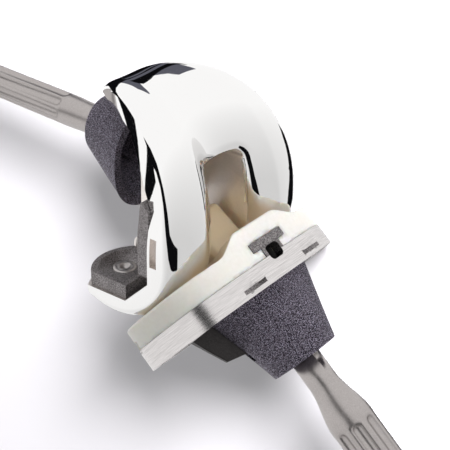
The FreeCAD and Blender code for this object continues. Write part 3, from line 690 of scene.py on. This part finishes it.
GRAIN = blasted_group()
BRUSH = brushed_group()
PORES = porous_group()


def polished_cobalt_chrome():
    finish = Finish("polished_cobalt_chrome", (0.86, 0.855, 0.85), 1.0, 0.03)
    grain = finish.group(GRAIN, Grains_per_metre=900.0)
    finish.roughness(finish.range(grain.outputs["Value"], 0.02, 0.05))
    finish.bump(grain.outputs["Height"], 0.0000012)
    return finish.material


def satin_cobalt_chrome():
    finish = Finish("satin_cobalt_chrome", (0.72, 0.68, 0.645), 1.0, 0.3)
    brush = finish.group(BRUSH, Stretch=(300.0, 2500.0, 2500.0))
    finish.color_by(brush.outputs["Value"], (0.3, (0.80, 0.755, 0.725)), (0.7, (0.95, 0.90, 0.865)))
    finish.roughness(finish.range(brush.outputs["Value"], 0.3, 0.44))
    finish.bump(brush.outputs["Height"], 0.00001)
    return finish.material


def blasted_titanium():
    finish = Finish("blasted_titanium", (0.25, 0.24, 0.24), 1.0, 0.5)
    grain = finish.group(GRAIN, Grains_per_metre=2600.0)
    finish.color_by(grain.outputs["Value"], (0.38, (0.1, 0.092, 0.093)), (0.62, (0.37, 0.347, 0.35)))
    finish.roughness(finish.range(grain.outputs["Value"], 0.42, 0.6))
    finish.bump(grain.outputs["Height"], 0.00009)
    return finish.material


def painted_shade_titanium():
    # Blasted titanium painted darker: painted shade for the tray's underside and keel, which lie in shadow
    finish = Finish("painted_shade_titanium", (0.1, 0.095, 0.094), 1.0, 0.55)
    grain = finish.group(GRAIN, Grains_per_metre=3200.0)
    finish.color_by(grain.outputs["Value"], (0.3, (0.035, 0.033, 0.033)), (0.7, (0.075, 0.07, 0.07)))
    finish.roughness(finish.range(grain.outputs["Value"], 0.48, 0.64))
    finish.bump(grain.outputs["Height"], 0.00004)
    return finish.material


def satin_titanium():
    finish = Finish("satin_titanium", (0.43, 0.4, 0.39), 1.0, 0.32)
    grain = finish.group(GRAIN, Grains_per_metre=2600.0)
    finish.color_by(grain.outputs["Value"], (0.3, (0.38, 0.35, 0.34)), (0.7, (0.48, 0.45, 0.44)))
    finish.roughness(finish.range(grain.outputs["Value"], 0.27, 0.4))
    finish.bump(grain.outputs["Height"], 0.000012)
    return finish.material


def brushed_titanium():
    finish = Finish("brushed_titanium", (0.66, 0.64, 0.63), 1.0, 0.3)
    brush = finish.group(BRUSH, Stretch=(140.0, 140.0, 4200.0))
    finish.color_by(brush.outputs["Value"], (0.3, (0.58, 0.555, 0.55)), (0.7, (0.74, 0.715, 0.71)))
    finish.roughness(finish.range(brush.outputs["Value"], 0.2, 0.3))
    finish.bump(brush.outputs["Height"], 0.000012)
    return finish.material


def painted_shade_recess():
    # Near-black painted shade for the pocket behind the lock's window, which light barely reaches
    finish = Finish("painted_shade_recess", (0.02, 0.018, 0.018), 0.0, 0.6)
    grain = finish.group(GRAIN, Grains_per_metre=2000.0)
    finish.roughness(finish.range(grain.outputs["Value"], 0.5, 0.7))
    return finish.material


def turned_screw_metal():
    finish = Finish("turned_screw_metal", (0.42, 0.4, 0.39), 1.0, 0.3)
    grain = finish.group(GRAIN, Grains_per_metre=4000.0)
    finish.roughness(finish.range(grain.outputs["Value"], 0.24, 0.38))
    finish.bump(grain.outputs["Height"], 0.00001)
    return finish.material


def porous_titanium():
    finish = Finish("porous_titanium", (0.13, 0.12, 0.135), 0.75, 0.5)
    grain = finish.group(PORES, Grains_per_metre=4200.0)
    # The pits between grains are painted near-black, painted shade in the pores; the grains' lighter tone
    # varies at random
    finish.color_by(
        grain.outputs["Pit"],
        (0.2, (0.016, 0.013, 0.018)),
        (0.5, (0.095, 0.084, 0.109)),
        (0.85, (0.58, 0.53, 0.655)),
    )
    finish.roughness(finish.range(grain.outputs["Pit"], 0.7, 0.42))
    finish.bump(grain.outputs["Height"], 0.0004)
    return finish.material


def painted_warm_shade_group():
    """Where the insert's colour turns to painted warm shade: 1 inside the insert's outline and 0 at its outer
    wall, an ellipse about the middle of the tray.

    The share is (0.97 - (x / half width)^2 - ((y - middle) / half depth)^2) times the steepness, clamped.
    """
    group, start, end = node_group(
        "painted_warm_shade",
        [
            ("Place", "NodeSocketVector", None),
            ("Half width", "NodeSocketFloat", 0.0385),
            ("Half depth", "NodeSocketFloat", 0.026),
            ("Middle", "NodeSocketFloat", 0.0085),
            ("Steepness", "NodeSocketFloat", 4.0),
        ],
        [("Value", "NodeSocketFloat")],
    )
    parts = group.nodes.new("ShaderNodeSeparateXYZ")
    group.links.new(start.outputs["Place"], parts.inputs[0])
    x = math_node(group, "DIVIDE", parts.outputs["X"], start.outputs["Half width"])
    y = math_node(group, "SUBTRACT", parts.outputs["Y"], start.outputs["Middle"])
    y = math_node(group, "DIVIDE", y, start.outputs["Half depth"])
    reach = math_node(group, "ADD", math_node(group, "MULTIPLY", x, x), math_node(group, "MULTIPLY", y, y))
    share = math_node(group, "SUBTRACT", 0.97, reach)
    share = math_node(group, "MULTIPLY", share, start.outputs["Steepness"], clamp=True)
    group.links.new(share, end.inputs["Value"])
    return group


def ivory_polyethylene():
    finish = Finish("ivory_polyethylene", (0.83, 0.78, 0.69), 0.0, 0.34)
    grain = finish.group(GRAIN, Grains_per_metre=700.0)
    front = finish.ramp(grain.outputs["Value"], [(0.25, (0.85, 0.83, 0.75)), (0.75, (0.9, 0.885, 0.815))])
    # Inside the outline the ivory turns to a painted warm shade, the bounced light and shade in the dishes
    inside = finish.group(painted_warm_shade_group())
    # Inputs 6 and 7 and output 2 are the colour sockets of this node
    mix = finish.tree.nodes.new("ShaderNodeMix")
    mix.data_type = "RGBA"
    finish.tree.links.new(inside.outputs["Value"], mix.inputs[0])
    finish.tree.links.new(front, mix.inputs[6])
    # The orange of the painted warm shade
    mix.inputs[7].default_value = (0.80, 0.655, 0.43, 1)
    finish.color(mix.outputs[2])
    finish.roughness(finish.range(grain.outputs["Value"], 0.28, 0.42))
    finish.bump(grain.outputs["Height"], 0.000008)
    finish.shader.inputs["Subsurface Weight"].default_value = 0.35
    finish.shader.inputs["Subsurface Radius"].default_value = (1.0, 0.62, 0.32)
    finish.shader.inputs["Subsurface Scale"].default_value = 0.004
    return finish.material


def seen_white(tree):
    """1 where a ray from the camera, a mirror or glass looks, else 0."""
    path = tree.nodes.new("ShaderNodeLightPath")
    first = math_node(tree, "MAXIMUM", path.outputs["Is Camera Ray"], path.outputs["Is Glossy Ray"])
    return math_node(tree, "MAXIMUM", first, path.outputs["Is Transmission Ray"])


def studio_world():
    """White where it is seen, a soft level where it lights, and duller in mirrors to the lower right."""
    world = bpy.data.worlds.new("studio")
    world.use_nodes = True
    tree = world.node_tree
    background = tree.nodes["Background"]
    background.inputs["Color"].default_value = (1.0, 0.997, 0.995, 1)
    level = tree.nodes.new("ShaderNodeMapRange")
    level.inputs["To Min"].default_value = WORLD_LIGHT
    level.inputs["To Max"].default_value = 1.0
    tree.links.new(seen_white(tree), level.inputs["Value"])
    facing = tree.nodes.new("ShaderNodeVectorMath")
    facing.operation = "DOT_PRODUCT"
    facing.inputs[1].default_value = photo_direction(-0.5, 0.866, 0.0)
    tree.links.new(tree.nodes.new("ShaderNodeTexCoord").outputs["Generated"], facing.inputs[0])
    fade = tree.nodes.new("ShaderNodeMapRange")
    for label, value in (("From Min", -0.8), ("From Max", 0.1), ("To Min", 0.73), ("To Max", 1.09)):
        fade.inputs[label].default_value = value
    tree.links.new(facing.outputs["Value"], fade.inputs["Value"])
    path = tree.nodes.new("ShaderNodeLightPath")
    mirrored = math_node(tree, "SUBTRACT", fade.outputs["Result"], 1.0)
    mirrored = math_node(tree, "MULTIPLY", mirrored, path.outputs["Is Glossy Ray"])
    strength = math_node(tree, "ADD", level.outputs["Result"], mirrored)
    tree.links.new(strength, background.inputs["Strength"])
    bpy.context.scene.world = world


def table_material():
    """Pale table that keeps the shadow, lifted to white for the camera, and nothing from behind."""
    material = bpy.data.materials.new("pale_table")
    material.use_nodes = True
    tree = material.node_tree
    tree.nodes.remove(tree.nodes["Principled BSDF"])
    output = tree.nodes["Material Output"]
    diffuse = tree.nodes.new("ShaderNodeBsdfDiffuse")
    diffuse.inputs["Color"].default_value = (0.6, 0.593, 0.614, 1)
    glow = tree.nodes.new("ShaderNodeEmission")
    glow.inputs["Color"].default_value = (1, 1, 1, 1)
    level = tree.nodes.new("ShaderNodeMapRange")
    level.inputs["To Min"].default_value = 0.0
    level.inputs["To Max"].default_value = TABLE_LIFT
    tree.links.new(seen_white(tree), level.inputs["Value"])
    tree.links.new(level.outputs["Result"], glow.inputs["Strength"])
    both = tree.nodes.new("ShaderNodeAddShader")
    tree.links.new(diffuse.outputs[0], both.inputs[0])
    tree.links.new(glow.outputs[0], both.inputs[1])
    clear = tree.nodes.new("ShaderNodeBsdfTransparent")
    behind = tree.nodes.new("ShaderNodeMixShader")
    geometry = tree.nodes.new("ShaderNodeNewGeometry")
    tree.links.new(geometry.outputs["Backfacing"], behind.inputs["Fac"])
    tree.links.new(both.outputs[0], behind.inputs[1])
    tree.links.new(clear.outputs[0], behind.inputs[2])
    tree.links.new(behind.outputs[0], output.inputs["Surface"])
    return material


def table():
    """Flat table under one side of the tray, so that no pose of the knee reaches through it."""
    sides = ((-1, -1), (1, -1), (1, 1), (-1, 1))
    corners = [Vector((TABLE_X, TABLE_HALF * y, TABLE_HALF * z)) * MM for y, z in sides]
    mesh = bpy.data.meshes.new("table")
    mesh.from_pydata([tuple(c) for c in corners], [], [(0, 1, 2, 3)])
    if mesh.polygons[0].normal.x > 0:
        mesh.flip_normals()
    mesh.materials.append(table_material())
    piece = link("table", mesh)
    piece.visible_glossy = False
    return piece


def camera():
    data = bpy.data.cameras.new("camera")
    data.sensor_fit = "HORIZONTAL"
    data.sensor_width = SENSOR_WIDTH
    data.lens = CAMERA_FOCAL_PIXELS / PHOTO_SIZE * SENSOR_WIDTH
    data.clip_start = 0.01
    obj = bpy.data.objects.new("camera", data)
    turn = Matrix((CAMERA_RIGHT, CAMERA_UP, CAMERA_BACK)).transposed().to_4x4()
    obj.matrix_world = Matrix.Translation(Vector(CAMERA_PLACE) * MM) @ turn
    bpy.context.scene.collection.objects.link(obj)
    bpy.context.scene.camera = obj


def softbox(name, right, up, back, distance, size, power, color):
    """Round area lamp that looks at the knee from a direction told in the photograph's terms."""
    data = bpy.data.lights.new(name, "AREA")
    data.shape = "DISK"
    data.size = size
    data.energy = power
    data.color = color
    obj = bpy.data.objects.new(name, data)
    target = Vector((0, AXIS_Y, AXIS_Z)) * MM
    direction = photo_direction(right, up, back)
    obj.location = target + direction * distance
    obj.rotation_euler = direction.to_track_quat("Z", "Y").to_euler()
    obj.visible_glossy = False
    bpy.context.scene.collection.objects.link(obj)
    return obj


def flag_direction(angle, around):
    """Direction an angle away from the camera's, turned around it from the photograph's right."""
    a, b = math.radians(angle), math.radians(around)
    return photo_direction(math.sin(a) * math.cos(b), math.sin(a) * math.sin(b), math.cos(a))


def flag(name, places, shade, distance=1.5):
    """Card that mirrors see: a ribbon on a sphere about the knee.

    Each place on it has its angle from the camera's direction, its turn round that and its half width.
    """
    centre = Vector((0, AXIS_Y, AXIS_Z)) * MM
    rows = [flag_direction(angle, around) for angle, around, _ in places]
    widths = [width for _, _, width in places]
    points = []
    for k, direction in enumerate(rows):
        ahead = rows[min(k + 1, len(rows) - 1)] - rows[max(k - 1, 0)]
        side = direction.cross(ahead).normalized()
        for share in (-1, 1):
            reach = math.tan(math.radians(widths[k])) * share
            points.append(centre + (direction + side * reach).normalized() * distance)
    faces = [(2 * k, 2 * k + 1, 2 * k + 3, 2 * k + 2) for k in range(len(rows) - 1)]
    mesh = bpy.data.meshes.new(name)
    mesh.from_pydata([tuple(p) for p in points], [], faces)
    material = bpy.data.materials.new(name)
    material.use_nodes = True
    tree = material.node_tree
    tree.nodes.remove(tree.nodes["Principled BSDF"])
    card = tree.nodes.new("ShaderNodeEmission")
    card.inputs["Color"].default_value = (*shade, 1)
    tree.links.new(card.outputs[0], tree.nodes["Material Output"].inputs["Surface"])
    mesh.materials.append(material)
    piece = link(name, mesh)
    piece.visible_camera = False
    piece.visible_diffuse = False
    piece.visible_shadow = False


def studio():
    bpy.context.scene.view_settings.view_transform = "Standard"
    studio_world()
    only_table = bpy.data.collections.new("only_table")
    only_table.objects.link(table())
    softbox("key", 0.62, 0.62, 0.45, 1.0, 0.55, 8.0, (1.0, 0.99, 0.98))
    softbox("fill", -0.6, 0.1, 0.8, 1.2, 0.9, 3.0, (0.98, 0.98, 1.0))
    wash = softbox("table_wash", 0.15, 0.27, 0.951, 1.0, 0.32, 39.0, (1.0, 0.985, 1.0))
    wash.light_linking.receiver_collection = only_table
    black = (0.004, 0.004, 0.005)
    # The gap that the camera looks through, and its run to the left and to the lower right
    flag(
        "flag_camera",
        [
            (122, 184.7, 2),
            (100, 181, 3.5),
            (76, 176, 5),
            (49, 168, 7.5),
            (21, 163, 10),
            (9, 243, 12),
            (27, 281, 14.5),
            (47, 290, 11),
            (62, 306, 8.5),
            (71, 315, 6),
        ],
        black,
        0.7,
    )
    # The dark room beside the studio: left of the knee, right of it, above and behind it, and its contour
    flag(
        "flag_left",
        [
            (144, 185, 3),
            (132.5, 175, 4.5),
            (128.5, 159, 6.5),
            (130, 145.6, 8),
            (134, 134, 10),
            (140, 126, 11),
            (150, 119, 11),
            (157, 112, 9),
            (150, 104, 4),
        ],
        black,
        1.4,
    )
    flag("flag_right", [(134, 22, 4), (142, 12, 11), (144, 0, 13), (141, -10, 11), (134, -14, 5)], black, 1.4)
    lavender = (0.115, 0.117, 0.145)
    wedge = [(146, 118, 9), (138, 108, 7), (130, 102, 6), (118, 93, 4.5), (110, 84, 1)]
    flag("flag_top", wedge, lavender)
    flag("flag_top_edge", [(138, 100, 3), (133, 95, 3), (129, 90, 1)], black, 1.3)
    flag("flag_behind", [(168, 180, 12), (180, 0, 14), (166, 0, 14)], black, 1.35)
    flag("flag_contour", [(171, around, 7) for around in (110, 80, 50, 20, -10)], black, 1.35)


polished = polished_cobalt_chrome()
satin_box = satin_cobalt_chrome()
blasted = blasted_titanium()
underside_shade = painted_shade_titanium()
stem_metal = satin_titanium()
tray_metal = brushed_titanium()
screw_metal = turned_screw_metal()
window_shade = painted_shade_recess()
porous = porous_titanium()
ivory = ivory_polyethylene()

polished_shell(polished, satin_box)
for side in ("left", "right"):
    for kind in ("distal", "posterior"):
        node = kind + "_augment_" + side
        finished_copy(node, "femur", blasted, 30, "plate_" + node)
        node = kind + "_augment_screw_" + side
        finished_copy(node, "femur", screw_metal, 30, "fixing_" + node)
finished_copy("femoral_cone", "femur", porous, 35, "porous_femoral_sleeve")
finished_copy("femoral_stem", "femur", stem_metal, 35, "fluted_femoral_stem")
tray = finished_copy(
    "tibial_tray",
    "tibia",
    tray_metal,
    30,
    "brushed_tray",
    zones=[
        (blasted, lambda x, y, z: z > TRAY_TOP + ON_PLANE),
        # The underside and keel take the titanium painted darker, as painted shade
        (underside_shade, lambda x, y, z: z < -ON_PLANE),
        # The slots take the darker blasted titanium: painted shade inside the slots
        (blasted, in_slots),
    ],
)
# The rim is shaded by its wide faces, so the slivers round the slots don't dent its reflections
even = tray.modifiers.new("even_normals", "WEIGHTED_NORMAL")
even.keep_sharp = True
finished_copy(
    "tibial_insert",
    "tibia",
    ivory,
    30,
    "ivory_insert",
    cuts=[(-WINDOW_HALF, WINDOW_HALF, WINDOW_START, WINDOW_END, WINDOW_LOW, WINDOW_HIGH)],
    # The pocket behind the window is painted near-black: painted shade
    zones=[(window_shade, in_window)],
)
finished_copy("insert_locking_wire", "tibia", screw_metal, 30, "locking_wire")
finished_copy("post_reinforcing_pin", "tibia", screw_metal, 30, "reinforcing_pin")
finished_copy("tibial_cone", "tibia", porous, 35, "porous_tibial_sleeve")
finished_copy("tibial_stem", "tibia", stem_metal, 35, "fluted_tibial_stem")

camera()
studio()
